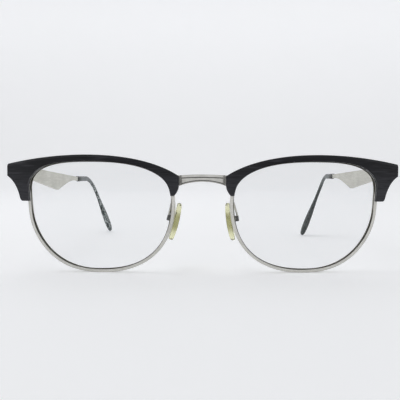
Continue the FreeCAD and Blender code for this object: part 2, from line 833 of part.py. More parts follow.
def make_tip(name, side, core):
    """A sleeve of one section round the bend, then a paddle that swells and rounds off."""
    start, corner, end = tip_corners(side)
    straight, bend, drop = tip_path(side).OrderedEdges
    flat_side = (corner - start).cross(end - corner).normalize()
    along = straight.tangentAt(straight.FirstParameter)
    mouth = oval(start, along, flat_side, size("tip_neck_height"), size("tip_neck_thickness"))
    sleeve = Part.Wire([straight, bend]).makePipeShell([mouth], True, False)

    down = drop.tangentAt(drop.FirstParameter)
    top = drop.valueAt(drop.FirstParameter)
    length = (end - top).Length
    reaches = [length * math.sin(step / PADDLE_STEPS * math.pi / 2) for step in range(PADDLE_STEPS + 1)]
    sections = [oval(top + down * reach, down, flat_side, *tip_section(length - reach)) for reach in reaches]
    paddle = Part.makeLoft(sections, True, True)
    sleeve_item = solid(f"{side}_tip_sleeve", sleeve, temple_place)
    paddle_item = solid(f"{side}_tip_paddle", paddle, temple_place)
    return cut(name, fuse(f"{side}_tip_whole", sleeve_item, paddle_item), core)


def make_temple_hinge():
    """The temple's own barrel, on a leaf that is soldered to the inside of the plate."""
    leaf_x = temple_side - size("leaf_thickness") / 2
    middle_z = hinge_z - temple_top_z
    tongue_y = (size("leaf_length") - size("barrel_radius")) / 2
    tongue = box(
        "leaf_tongue",
        "Sizes.leaf_thickness",
        "Sizes.leaf_length + Sizes.barrel_radius",
        barrel_height,
        shifted(temple_place, leaf_x, tongue_y, middle_z),
    )
    foot_y = size("leaf_length") - size("leaf_foot_length") / 2
    foot = box(
        "leaf_foot",
        "Sizes.leaf_thickness",
        "Sizes.leaf_foot_length",
        "Sizes.leaf_foot_height",
        shifted(temple_place, leaf_x, foot_y, middle_z),
    )
    bore = cylinder(
        "temple_barrel_bore",
        "Sizes.hinge_screw_radius + Sizes.hinge_running_clearance",
        "Sizes.hinge_height",
        Placement(hinge_low, Rotation()),
    )
    return cut("left_temple_hinge", fuse("leaf_blank", barrel("temple_barrel", 1), tongue, foot), bore)


# Nose pad: its own frame has X to the front, Y away from the nose and Z up along the pad

pad_center = Vector(
    size("eye_gap") / 2 - size("pad_inset"),
    front_y + size("pad_setback"),
    eye_center_z - size("pad_drop"),
)
pad_half = size("pad_thickness") / 2
pad_box_near = pad_half + size("pad_box_gap")
pad_box_far = pad_box_near + size("pad_box_depth")
pad_box_middle = (pad_box_near + pad_box_far) / 2
pad_box_floor = 2 * size("pad_arm_radius")
pad_axis_y = pad_box_far - pad_box_floor - size("pad_lug_clearance") - size("pad_lug_radius")


def pad_place(side):
    """The pad's own frame, drawn on the wearer's left also for the right pad, which is mirrored later."""
    tilt = Rotation(Y_AXIS, -size(f"{side}_pad_tilt_angle"))
    return Placement(pad_center, tilt.multiply(Rotation(Z_AXIS, -90 - size("pad_splay_angle"))))


def pad_fitting(side):
    """The frame of the box, the screw and the insert, a little above the pad's middle."""
    return shifted(pad_place(side), z=size("pad_box_rise"))


def make_pad_screw(name, fitting):
    head_seat = fitting.multVec(Vector(size("pad_box_width") / 2, pad_axis_y, 0))
    return screw(
        name,
        aimed(head_seat, fitting.Rotation.multVec(X_AXIS.negative())),
        "Sizes.pad_screw_radius",
        "Sizes.pad_box_width",
        "Sizes.pad_head_radius",
        "Sizes.pad_head_height",
    )


def make_pad_box(name, fitting, pad_screw):
    center = shifted(fitting, 0, pad_box_middle, 0)
    block = box(
        f"{name}_block",
        "Sizes.pad_box_width",
        "Sizes.pad_box_depth",
        "Sizes.pad_box_height",
        center,
    )
    slot = box(
        f"{name}_slot",
        "Sizes.pad_slot_width",
        "Sizes.pad_box_depth",
        "2 * Sizes.pad_box_height",
        shifted(center, 0, -pad_box_floor, 0),
    )
    return cut(name, block, slot, pad_screw)


def make_pad_insert(name, fitting):
    plate_y = pad_half - size("pad_plate_cover") - size("pad_plate_thickness") / 2
    plate = box(
        f"{name}_plate",
        "Sizes.pad_plate_width",
        "Sizes.pad_plate_thickness",
        "Sizes.pad_plate_length",
        shifted(fitting, 0, plate_y, 0),
    )
    lug_width = "(Sizes.pad_slot_width - 2 * Sizes.pad_lug_clearance)"
    lug_length = pad_axis_y - plate_y
    lug_center = shifted(fitting, 0, plate_y + lug_length / 2, 0)
    lug = box(f"{name}_lug", lug_width, str(lug_length), "2 * Sizes.pad_lug_radius", lug_center)
    lug_half = size("pad_slot_width") / 2 - size("pad_lug_clearance")
    sideways = Rotation(Z_AXIS, X_AXIS)
    eye_foot = fitting.multiply(Placement(Vector(-lug_half, pad_axis_y, 0), sideways))
    lug_eye = cylinder(f"{name}_eye", "Sizes.pad_lug_radius", lug_width, eye_foot)
    bore_foot = fitting.multiply(Placement(Vector(-size("pad_slot_width"), pad_axis_y, 0), sideways))
    bore = cylinder(
        f"{name}_bore",
        "Sizes.pad_screw_radius + Sizes.pad_screw_clearance",
        "2 * Sizes.pad_slot_width",
        bore_foot,
    )
    return cut(name, fuse(f"{name}_whole", plate, lug, lug_eye), bore)


def make_nose_pad(name, place, insert):
    outline = doc.addObject("Part::Ellipse", f"{name}_outline")
    outline.setExpression("MajorRadius", "Sizes.pad_length / 2")
    outline.setExpression("MinorRadius", "Sizes.pad_width / 2")
    upright = Rotation(Vector(1, 1, 1), -120)
    outline.Placement = place.multiply(Placement(Vector(0, -pad_half, 0), upright))
    slab = doc.addObject("Part::Extrusion", f"{name}_slab")
    slab.Base = outline
    slab.DirMode = "Custom"
    slab.Dir = place.Rotation.multVec(Y_AXIS)
    slab.setExpression("LengthFwd", "Sizes.pad_thickness")
    slab.Solid = True
    crown_center = place.multVec(Vector(0, size("pad_crown_radius") - pad_half, 0))
    crown = sphere(f"{name}_crown", "Sizes.pad_crown_radius", crown_center)
    return cut(name, common(f"{name}_crowned", slab, crown), insert)


def make_pad_arm(name, fitting, rim):
    """A wire from the nasal side of the rim, back and round to the top of the pad box."""
    root_u = -half_width - size("rim_width") / 2
    root_v = size("nasal_point_rise") + size("pad_arm_root_rise")
    root, normal = front_point(root_u, root_v, (size("groove_depth") - size("rim_depth")) / 2)
    elbow = root - normal * size("pad_arm_back") + X_AXIS * size("pad_arm_outward")
    seat_y = pad_box_far - size("pad_arm_radius")
    box_top = size("pad_box_height") / 2
    above = fitting.multVec(Vector(0, seat_y, box_top + size("pad_arm_lead")))
    seat = fitting.multVec(Vector(0, seat_y, box_top))
    path = rounded_path([root, elbow, above, seat], size("pad_arm_bend_radius"))
    wire = solid(f"{name}_wire", wire_along(path, size("pad_arm_radius")), Placement())
    return cut(name, wire, rim)


def make_pad_set(side, ending):
    """One side's pad with its insert, screw, box and arm."""
    fitting = pad_fitting(side)
    pad_screw = make_pad_screw(f"{side}_pad_screw{ending}", fitting)
    insert = make_pad_insert(f"{side}_pad_insert{ending}", fitting)
    return [
        make_pad_arm(f"{side}_pad_arm{ending}", fitting, left_rim),
        make_pad_box(f"{side}_pad_box{ending}", fitting, pad_screw),
        pad_screw,
        insert,
        make_nose_pad(f"{side}_nose_pad{ending}", pad_place(side), insert),
    ]


def mirrored(name, source):
    item = doc.addObject("Part::Mirroring", name)
    item.Source = source
    item.Normal = X_AXIS
    return item


# The wearer's left half, then its mirror image

left_rim = make_rim()
left_closing_screw = make_closing_screw()
temporal_u = end_u - size("brow_end_block") - size("brow_temporal_screw_inset")
nasal_u = -half_width - size("brow_nasal_reach") / 2
nasal_v = size("bridge_rise") - size("bridge_height") / 2 - size("brow_nasal_screw_drop")
left_brow_temporal_screw = make_brow_screw("left_brow_temporal_screw", temporal_u, hinge_v, strip_back_front)
nasal_seat = rim_front - size("brow_nasal_screw_seat")
left_brow_nasal_screw = make_brow_screw("left_brow_nasal_screw", nasal_u, nasal_v, nasal_seat)
left_hinge_screw = make_hinge_screw()

left_pieces = [
    left_rim,
    make_lens(),
    make_closing_block("left_upper_closing_block", 1, left_closing_screw),
    make_closing_block("left_lower_closing_block", -1, left_closing_screw),
    left_closing_screw,
    make_brow(left_brow_temporal_screw, left_brow_nasal_screw),
    left_brow_temporal_screw,
    left_brow_nasal_screw,
    make_end_piece(left_brow_temporal_screw),
    make_front_hinge(left_hinge_screw),
    left_hinge_screw,
    make_temple_hinge(),
]
right_pieces = [mirrored(piece.Name.replace("left", "right", 1), piece) for piece in left_pieces]

for side, pieces in (("left", left_pieces), ("right", right_pieces)):
    ending = "" if side == "left" else "_blank"
    core = make_temple_core(side)
    own_pieces = make_pad_set(side, ending)
    own_pieces.append(fuse(f"{side}_temple{ending}", make_temple_plate(side), core))
    own_pieces.append(make_tip(f"{side}_temple_tip{ending}", side, core))
    if side == "right":
        own_pieces = [mirrored(piece.Name.replace(ending, ""), piece) for piece in own_pieces]
    pieces += own_pieces

bridge_cutters = [doc.getObject("brow_blank"), rim_envelope, left_brow_nasal_screw]
bridge_cutters += [mirrored(f"{cutter.Name}_mirrored", cutter) for cutter in bridge_cutters]
bridge = make_bridge(bridge_cutters)

doc.recompute()

pieces = [bridge] + left_pieces + right_pieces
for item in doc.Objects:
    if "Invalid" in item.State or "Error" in item.State:
        raise RuntimeError(f"{item.Name} failed: {item.State}")
for piece in pieces:
    if piece.Shape.isNull() or not piece.Shape.isValid() or piece.Shape.Volume <= 0:
        raise RuntimeError(f"{piece.Name} has no valid solid")

os.makedirs("parts", exist_ok=True)
for piece in pieces:
    piece.Label = piece.Name
    piece.Shape.exportStep(f"parts/{piece.Label}.step")

print("pieces", len(pieces))
print("left hinge axis", hinge_axis)
for side in ("left", "right"):
    fitting = pad_fitting(side)
    print(side, "pad axis", fitting.multVec(Vector(0, pad_axis_y, 0)), fitting.Rotation.multVec(X_AXIS))
print("box of the whole", Part.makeCompound([piece.Shape for piece in pieces]).BoundBox)
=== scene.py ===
import json
import math
from collections import namedtuple

import bmesh
import bpy
from mathutils import Matrix, Vector


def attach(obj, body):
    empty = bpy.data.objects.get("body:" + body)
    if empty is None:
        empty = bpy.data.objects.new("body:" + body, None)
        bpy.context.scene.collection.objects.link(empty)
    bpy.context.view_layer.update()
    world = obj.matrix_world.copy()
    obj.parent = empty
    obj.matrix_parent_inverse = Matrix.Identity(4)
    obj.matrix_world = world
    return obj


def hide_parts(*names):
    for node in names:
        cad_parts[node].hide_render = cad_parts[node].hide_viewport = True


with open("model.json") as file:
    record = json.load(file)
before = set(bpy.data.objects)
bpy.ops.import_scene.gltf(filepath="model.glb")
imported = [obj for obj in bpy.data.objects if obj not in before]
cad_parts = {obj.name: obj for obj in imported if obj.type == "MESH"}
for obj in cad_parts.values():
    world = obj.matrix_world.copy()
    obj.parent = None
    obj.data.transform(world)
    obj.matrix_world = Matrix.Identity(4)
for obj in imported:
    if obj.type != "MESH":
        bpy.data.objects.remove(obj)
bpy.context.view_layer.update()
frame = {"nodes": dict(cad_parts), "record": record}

MM = 0.001
SIDES = {"left": 1, "right": -1}

# Sizes repeated from the CAD source, in millimetres
FRONT_Y = -58.8310
EYE_WIDTH = 50.8
EYE_HEIGHT = 37.7
EYE_CENTER = Vector((36.2, FRONT_Y, 19.85))
FACE_FORM = math.radians(4.0)
BASE_RADIUS = 130.0
TOP_POINT = (3.5, EYE_HEIGHT / 2)
BOTTOM_POINT = (0.3, -EYE_HEIGHT / 2)
TEMPORAL_POINT = (EYE_WIDTH / 2, 9.0)
NASAL_POINT = (-EYE_WIDTH / 2, 5.2)
EYE_QUARTERS = [
    (TOP_POINT, TEMPORAL_POINT, 2.8, 0),
    (TOP_POINT, NASAL_POINT, 2.45, 1),
    (BOTTOM_POINT, NASAL_POINT, 2.48, 2),
    (BOTTOM_POINT, TEMPORAL_POINT, 2.17, 3),
]
LENS_EDGE_REACH = 0.47
LENS_HALF_THICKNESS = 0.6

TEMPLE_ORIGIN = Vector((67.4206, -44.9705, 37.35))
TEMPLE_TOE_IN = math.radians(1.2)
TEMPLE_MIDDLE = 1.9
METAL_REACH = 69.5
TEMPLE_END_HEIGHT = 2.0
TIP_END_HEIGHT = 0.4
TIP_SHAPES = {
    "left": {"slope": math.radians(2.27), "straight": 17.0, "bend": 3.5, "run": 0.5, "inset": 12.9},
    "right": {"slope": math.radians(3.62), "straight": 27.0, "bend": 13.0, "run": 9.0, "inset": 9.6},
}
TIP_NECK = (2.75, 1.6)
TIP_PADDLE = (5.6, 3.0)
TIP_PADDLE_LENGTH = 24.0
TIP_PADDLE_ROUND = 8.0
TIP_ROUNDNESS = 3

PAD_CENTER = Vector((9.9, FRONT_Y + 8.0, 16.95))
PAD_TILTS = {"left": math.radians(8.7), "right": math.radians(14.1)}
PAD_SPLAY = math.radians(7.0)
PAD_HALF_LENGTH = 6.95
PAD_HALF_WIDTH = 3.75
PAD_HALF_THICKNESS = 1.1
PAD_CROWN_RADIUS = 45.0


# Mesh helpers

def new_piece(name, points, faces, materials, face_materials=None):
    """A smooth mesh from points in millimetres."""
    mesh = bpy.data.meshes.new(name)
    mesh.from_pydata([Vector(point) * MM for point in points], [], faces)
    builder = bmesh.new()
    builder.from_mesh(mesh)
    bmesh.ops.recalc_face_normals(builder, faces=builder.faces)
    builder.to_mesh(mesh)
    builder.free()
    for material in materials:
        mesh.materials.append(material)
    for number, polygon in enumerate(mesh.polygons):
        polygon.use_smooth = True
        if face_materials:
            polygon.material_index = face_materials[number]
    piece = bpy.data.objects.new(name, mesh)
    bpy.context.collection.objects.link(piece)
    return piece


def ring_faces(rings, count):
    """Quads between each two neighbouring rings of points, and a fan over each end."""
    faces = []
    for ring in range(rings - 1):
        for step in range(count):
            after = (step + 1) % count
            low = ring * count
            high = low + count
            faces.append((low + step, low + after, high + after, high + step))
    first = rings * count
    last = (rings - 1) * count
    for step in range(count):
        after = (step + 1) % count
        faces.append((first, after, step))
        faces.append((first + 1, last + step, last + after))
    return faces


def eased(start, end, share):
    """A value between two others that leaves and arrives gently."""
    share = min(max(share, 0.0), 1.0)
    return start + (end - start) * share * share * (3 - 2 * share)


# Node helpers

NOISE_LOW = 0.3
NOISE_HIGH = 0.7
GROOVE_SHUT = 0.45
GROOVE_OPEN = 0.9
LOCAL_SAMPLES = 8


class Shading:
    """A new node material: a principled shader with named inputs and a few texture makers."""

    def __init__(self, name, **inputs):
        self.material = bpy.data.materials.new(name)
        self.material.use_nodes = True
        self.tree = self.material.node_tree
        self.shader = self.tree.nodes["Principled BSDF"]
        for key, value in inputs.items():
            self.shader.inputs[key.replace("_", " ")].default_value = value
        texture = self.tree.nodes.new("ShaderNodeTexCoord")
        self.place = texture.outputs["Object"]

    def link(self, output, socket):
        self.tree.links.new(output, socket)

    def noise(self, scale, detail=4.0, roughness=0.55, stretch=(1, 1, 1)):
        """Noise whose features are about one millimetre over the scale, stretched per axis."""
        mapping = self.tree.nodes.new("ShaderNodeMapping")
        mapping.inputs["Scale"].default_value = [scale / MM * factor for factor in stretch]
        self.link(self.place, mapping.inputs["Vector"])
        node = self.tree.nodes.new("ShaderNodeTexNoise")
        node.inputs["Scale"].default_value = 1.0
        node.inputs["Detail"].default_value = detail
        node.inputs["Roughness"].default_value = roughness
        self.link(mapping.outputs["Vector"], node.inputs["Vector"])
        return node.outputs["Fac"]

    def height(self, low, high):
        """A share that rises from 0 to 1 between two heights in millimetres."""
        split = self.tree.nodes.new("ShaderNodeSeparateXYZ")
        self.link(self.place, split.inputs["Vector"])
        span = self.tree.nodes.new("ShaderNodeMapRange")
        span.interpolation_type = "SMOOTHSTEP"
        span.inputs["From Min"].default_value = low * MM
        span.inputs["From Max"].default_value = high * MM
        self.link(split.outputs["Z"], span.inputs["Value"])
        return span.outputs["Result"]

    def ramp(self, share, stops):
        """A colour from a share, between stops of position and colour."""
        node = self.tree.nodes.new("ShaderNodeValToRGB")
        elements = node.color_ramp.elements
        while len(elements) < len(stops):
            elements.new(0.5)
        for element, (position, color) in zip(elements, stops):
            element.position = position
            element.color = (*color, 1)
        self.link(share, node.inputs["Fac"])
        return node.outputs["Color"]

    def mix(self, share, first, second):
        """From the first colour to the second as a share rises from 0 to 1."""
        node = self.tree.nodes.new("ShaderNodeMix")
        node.data_type = "RGBA"
        self.link(share, node.inputs["Factor"])
        self.link(first, node.inputs["A"])
        self.link(second, node.inputs["B"])
        return node.outputs["Result"]

    def vary(self, socket, share, low, high):
        """Lets a texture move an input between two values."""
        span = self.tree.nodes.new("ShaderNodeMapRange")
        span.inputs["From Min"].default_value = NOISE_LOW
        span.inputs["From Max"].default_value = NOISE_HIGH
        span.inputs["To Min"].default_value = low
        span.inputs["To Max"].default_value = high
        self.link(share, span.inputs["Value"])
        self.link(span.outputs["Result"], self.shader.inputs[socket])

    def crevices(self, reach):
        """A share that falls from 1 to 0 inside grooves about as deep as a reach in millimetres."""
        node = self.tree.nodes.new("ShaderNodeAmbientOcclusion")
        node.only_local = True
        node.samples = LOCAL_SAMPLES
        node.inputs["Distance"].default_value = reach * MM
        span = self.tree.nodes.new("ShaderNodeMapRange")
        span.inputs["From Min"].default_value = GROOVE_SHUT
        span.inputs["From Max"].default_value = GROOVE_OPEN
        self.link(node.outputs["AO"], span.inputs["Value"])
        return span.outputs["Result"]

    def color(self, output):
        self.link(output, self.shader.inputs["Base Color"])

    def bump(self, share, depth, strength, edge=0.0):
        """A bump whose full height is a depth in millimetres, over edges rounded to a radius."""
        node = self.tree.nodes.new("ShaderNodeBump")
        node.inputs["Strength"].default_value = strength
        node.inputs["Distance"].default_value = depth * MM
        self.link(share, node.inputs["Height"])
        if edge:
            rounding = self.tree.nodes.new("ShaderNodeBevel")
            rounding.samples = LOCAL_SAMPLES
            rounding.inputs["Radius"].default_value = edge * MM
            self.link(rounding.outputs["Normal"], node.inputs["Normal"])
        self.link(node.outputs["Normal"], self.shader.inputs["Normal"])


# Materials

METAL_EDGE = 0.3
METAL_CREVICE = 0.4
TARNISH = 0.86
BROW_EDGE = 0.25
BROW_SHADE_HEIGHTS = (26.5, 39.5)
TIP_FADE = (25.0, 32.0)
CHALK_RED = 0.92
PAD_CORE_START = (12.5, 15.5)
PAD_CORE_END = (18.5, 21.0)
NONE = (0, 0, 0)
MOST = (0.8, 0.8, 0.8)


def satin_metal(name, dark, light, stretch, rough):
    """Nickel silver, finely brushed one way, with cloudy tarnish and painted shade darkening its grooves."""
    shading = Shading(name, Metallic=1.0)
    streaks = shading.noise(3.0, detail=6.0, stretch=stretch)
    clouds = shading.noise(0.15, detail=3.0)
    fresh = shading.ramp(streaks, [(0.3, dark), (0.7, light)])
    dull = shading.ramp(streaks, [(0.25, [value * TARNISH for value in dark]), (0.75, dark)])
    worn = shading.ramp(clouds, [(0.42, NONE), (0.75, MOST)])
    # Painted shade: a dark colour laid into grooves and hollows wherever ambient occlusion finds them
    crevice_shade = shading.ramp(clouds, [(0.3, (0.05, 0.05, 0.045)), (0.7, (0.1, 0.1, 0.09))])
    unshaded_metal = shading.mix(worn, fresh, dull)
    shading.color(shading.mix(shading.crevices(METAL_CREVICE), crevice_shade, unshaded_metal))
    shading.vary("Roughness", streaks, *rough)
    shading.bump(streaks, depth=0.004, strength=0.6, edge=METAL_EDGE)
    return shading.material


def black_brow():
    """Black plastic with faint lengthwise streaks and wipes from polishing, with painted shade darkening its
    top and painted light making it lighter at its feet.
    """
    shading = Shading("black_brow", Specular_IOR_Level=0.2)
    streaks = shading.noise(1.6, detail=5.0, stretch=(0.08, 0.08, 1.4))
    wipes = shading.noise(0.9, detail=2.0, stretch=(0.07, 0.07, 1.0))
    grain = shading.noise(6.0, detail=3.0)
    # Painted shade and light: a darker copy of the black above and a lighter copy below, mixed by height
    upper = shading.ramp(streaks, [(0.3, (0.002, 0.002, 0.003)), (0.75, (0.01, 0.01, 0.013))])
    lower = shading.ramp(streaks, [(0.3, (0.017, 0.017, 0.021)), (0.75, (0.046, 0.047, 0.054))])
    height_shaded = shading.mix(shading.height(*BROW_SHADE_HEIGHTS), lower, upper)
    wiped = shading.ramp(streaks, [(0.3, (0.018, 0.018, 0.022)), (0.75, (0.045, 0.045, 0.052))])
    share = shading.ramp(wipes, [(0.56, NONE), (0.68, MOST)])
    shading.color(shading.mix(share, height_shaded, wiped))
    shading.vary("Roughness", streaks, 0.25, 0.45)
    shading.bump(grain, depth=0.003, strength=0.5, edge=BROW_EDGE)
    return shading.material


def dark_tip(name, bleached):
    """Slate acetate, mottled, with chalky spots towards the end."""
    shading = Shading(name, Specular_IOR_Level=0.25)
    mottle = shading.noise(1.3, detail=6.0, roughness=0.65, stretch=(1, 1, 0.6))
    grain = shading.noise(4.0, detail=3.0)
    upper = shading.ramp(mottle, [(0.34, (0.055, 0.066, 0.067)), (0.66, (0.24, 0.26, 0.265))])
    chalk = (bleached * CHALK_RED, bleached, bleached)
    lower = shading.ramp(mottle, [(0.4, (0.005, 0.01, 0.009)), (0.49, (0.03, 0.044, 0.042)), (0.58, chalk)])
    shading.color(shading.mix(shading.height(*TIP_FADE), lower, upper))
    shading.vary("Roughness", mottle, 0.28, 0.5)
    shading.bump(grain, depth=0.006, strength=0.4)
    return shading.material


def tip_collar():
    """The dark end band of the tip."""
    shading = Shading("tip_collar", Specular_IOR_Level=0.2)
    grain = shading.noise(3.0, detail=5.0)
    shading.color(shading.ramp(grain, [(0.3, (0.01, 0.012, 0.01)), (0.7, (0.03, 0.033, 0.028))]))
    shading.vary("Roughness", grain, 0.35, 0.55)
    shading.bump(grain, depth=0.005, strength=0.4)
    return shading.material


def pad_plastic():
    """Soft clear plastic that has yellowed unevenly with age, darker round its metal core."""
    shading = Shading("pad_plastic", Transmission_Weight=0.92, IOR=1.4)
    clouds = shading.noise(0.3, detail=4.0)
    grain = shading.noise(2.0, detail=2.0)
    ends = shading.ramp(clouds, [(0.3, (0.94, 0.935, 0.68)), (0.7, (0.85, 0.84, 0.5))])
    core = shading.ramp(clouds, [(0.3, (0.52, 0.51, 0.25)), (0.7, (0.32, 0.31, 0.14))])
    lower = shading.mix(shading.height(*PAD_CORE_START), ends, core)
    shading.color(shading.mix(shading.height(*PAD_CORE_END), lower, ends))
    shading.vary("Roughness", grain, 0.08, 0.16)
    shading.bump(grain, depth=0.002, strength=0.5)
    return shading.material


def clear_lens():
    """Clear lens, coated to reflect less, with faint wiping marks."""
    shading = Shading("clear_lens", Transmission_Weight=1.0, IOR=1.28)
    marks = shading.noise(0.12, detail=4.0, stretch=(1, 1, 3))
    shading.color(shading.ramp(marks, [(0.3, (0.93, 0.934, 0.938)), (0.7, (0.945, 0.948, 0.95))]))
    shading.vary("Roughness", marks, 0.0, 0.012)
    return shading.material


def lens_edge():
    """The ground edge of the lens, dark grey as painted shade of the rim's groove it sits in."""
    shading = Shading("lens_edge", Specular_IOR_Level=0.3)
    grain = shading.noise(5.0, detail=3.0)
    # Painted shade: the dark grey stands for the shade inside the rim's groove
    shading.color(shading.ramp(grain, [(0.3, (0.12, 0.115, 0.095)), (0.7, (0.21, 0.2, 0.165))]))
    shading.vary("Roughness", grain, 0.5, 0.7)
    return shading.material


BRUSHED_ACROSS = (0.15, 1, 1)
BRUSHED_BACKWARD = (1, 0.06, 1)
UNBRUSHED = (1, 1, 1)
SATIN = (0.3, 0.42)
MATT = (0.36, 0.5)
METALS = {
    "rim_metal": ((0.56, 0.55, 0.51), (0.74, 0.73, 0.69), UNBRUSHED, SATIN),
    "bridge_metal": ((0.5, 0.49, 0.455), (0.68, 0.67, 0.635), BRUSHED_ACROSS, SATIN),
    "temple_metal": ((0.55, 0.54, 0.48), (0.74, 0.73, 0.67), BRUSHED_BACKWARD, MATT),
    "screw_steel": ((0.4, 0.4, 0.38), (0.58, 0.57, 0.55), UNBRUSHED, SATIN),
    "pad_metal": ((0.09, 0.09, 0.09), (0.19, 0.19, 0.18), UNBRUSHED, SATIN),
}
TIP_CHALK = {"left": 0.08, "right": 0.5}
MATERIALS = {
    "black_brow": black_brow(),
    "tip_collar": tip_collar(),
    "pad_plastic": pad_plastic(),
    "clear_lens": clear_lens(),
    "lens_edge": lens_edge(),
}
for metal, finish in METALS.items():
    MATERIALS[metal] = satin_metal(metal, *finish)
for side, bleached in TIP_CHALK.items():
    MATERIALS[f"{side}_tip"] = dark_tip(f"{side}_tip", bleached)
SLOT_MATERIALS = {
    "silver_metal": "rim_metal",
    "screw_steel": "screw_steel",
    "pad_metal": "pad_metal",
    "black_brow": "black_brow",
    "dark_tip": "left_tip",
    "pad_plastic": "pad_plastic",
    "clear_lens": "clear_lens",
}
NODE_MATERIALS = {"bridge": "bridge_metal", "left_temple": "temple_metal", "right_temple": "temple_metal"}


def finish_nodes():
    """Gives each CAD node its material."""
    slots = {entry["node"]: entry["material_slot"] for entry in frame["record"]["subparts"]}
    for name, node in frame["nodes"].items():
        key = NODE_MATERIALS.get(name, SLOT_MATERIALS[slots[name]])
        node.data.materials.clear()
        node.data.materials.append(MATERIALS[key])


# Lens: curved front and back, with a ground bevel that sits in the rim's groove

LENS_BEVEL_INSET = 0.25
LENS_STEPS = 40
LENS_RINGS = 10
CLEAR = 0
GROUND = 1


def eye_points(offset):
    """Points of the eye outline as (across, up), moved out along the outline's normal."""
    points = []
    for (pole_u, pole_v), (side_u, side_v), power, quarter in EYE_QUARTERS:
        reach_u = abs(side_u - pole_u)
        reach_v = abs(pole_v - side_v)
        for step in range(LENS_STEPS):
            angle = (quarter + step / LENS_STEPS) * math.pi / 2
            cosine = math.cos(angle)
            sine = math.sin(angle)
            stretch = (abs(cosine) ** power + abs(sine) ** power) ** (-1 / power)
            u = stretch * cosine
            v = stretch * sine
            normal_u = math.copysign(abs(u) ** (power - 1), u) / reach_u
            normal_v = math.copysign(abs(v) ** (power - 1), v) / reach_v
            scale = offset / math.hypot(normal_u, normal_v)
            points.append((pole_u + reach_u * u + normal_u * scale, side_v + reach_v * v + normal_v * scale))
    return points


def on_front(u, v, front, mirror):
    """A point of the curved front in the shared frame, at a distance before the rim's middle."""
    depth = BASE_RADIUS - math.sqrt((BASE_RADIUS + front) ** 2 - u * u - v * v)
    x = EYE_CENTER.x + u * math.cos(FACE_FORM) - depth * math.sin(FACE_FORM)
    y = EYE_CENTER.y + u * math.sin(FACE_FORM) + depth * math.cos(FACE_FORM)
    return (x * mirror, y, EYE_CENTER.z + v)


def make_lens(side):
    """A lens of rings of points, from the front's middle over the ground edge to the back's middle."""
    mirror = SIDES[side]
    inner = eye_points(-LENS_BEVEL_INSET)
    middle = Vector((sum(u for u, v in inner), sum(v for u, v in inner))) / len(inner)
    shares = [(ring + 1) / LENS_RINGS for ring in range(LENS_RINGS)]
    loops = []
    for front, order in ((LENS_HALF_THICKNESS, shares), (-LENS_HALF_THICKNESS, shares[::-1])):
        for share in order:
            loops.append([(middle.lerp(Vector(point), share), front) for point in inner])
        if front > 0:
            loops.append([(Vector(point), 0.0) for point in eye_points(LENS_EDGE_REACH)])
    points = [on_front(place.x, place.y, front, mirror) for loop in loops for place, front in loop]
    points.append(on_front(middle.x, middle.y, LENS_HALF_THICKNESS, mirror))
    points.append(on_front(middle.x, middle.y, -LENS_HALF_THICKNESS, mirror))
    count = len(inner)
    faces = ring_faces(len(loops), count)
    edge_rows = (LENS_RINGS - 1, LENS_RINGS)
    kinds = [GROUND if number // count in edge_rows else CLEAR for number in range(len(faces))]
    materials = [MATERIALS["clear_lens"], MATERIALS["lens_edge"]]
    piece = new_piece(f"{side}_lens_piece", points, faces, materials, kinds)
    mark_sharp_edge(piece, GROUND)
    # A clear lens casts no dark shadow
    piece.visible_shadow = False
    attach(piece, "front")
    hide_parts(f"{side}_lens")


def mark_sharp_edge(piece, kind):
    """Keeps the shading crisp where faces of one material kind meet the others."""
    builder = bmesh.new()
    builder.from_mesh(piece.data)
    for edge in builder.edges:
        kinds = {face.material_index for face in edge.link_faces}
        if kind in kinds and len(kinds) > 1:
            edge.smooth = False
    builder.to_mesh(piece.data)
    builder.free()


# Temple tip: a sleeve round the bend, a waist and a paddle, with a dark end band

TIP_BLUNT_END = 0.001
TIP_SEGMENTS = 40
TIP_BEND_STEPS = 20
TIP_DROP_STEPS = 36
COLLAR_LENGTH = 4.4
COLLAR_SWELL = 1.05
GROOVE_SINK = 0.94
PLAIN = 0
BAND = 1
# Start of the sleeve: distance along it, share of the neck's section, and kind
SLEEVE = [
    (0.0, 0.8, BAND),
    (0.08, 0.97, BAND),
    (0.25, COLLAR_SWELL, BAND),
    (COLLAR_LENGTH - 0.1, COLLAR_SWELL, BAND),
    (COLLAR_LENGTH, GROOVE_SINK, BAND),
    (COLLAR_LENGTH + 0.15, GROOVE_SINK, PLAIN),
    (COLLAR_LENGTH + 0.3, 1.0, PLAIN),
    (COLLAR_LENGTH + 2.0, 1.0, PLAIN),
]
Station = namedtuple("Station", "place along height thickness kind")


def tip_section(from_end):
    """Height and thickness of the tip at a distance before its end."""
    swelling = (TIP_PADDLE_LENGTH - from_end) / (TIP_PADDLE_LENGTH - TIP_PADDLE_ROUND)
    closing = max(0.0, 1 - from_end / TIP_PADDLE_ROUND)
    rounding = (1 - (1 - TIP_BLUNT_END) * closing ** TIP_ROUNDNESS) ** (1 / TIP_ROUNDNESS)
    height = eased(TIP_NECK[0], TIP_PADDLE[0], swelling)
    thickness = eased(TIP_NECK[1], TIP_PADDLE[1], swelling)
    return height * rounding, thickness * rounding


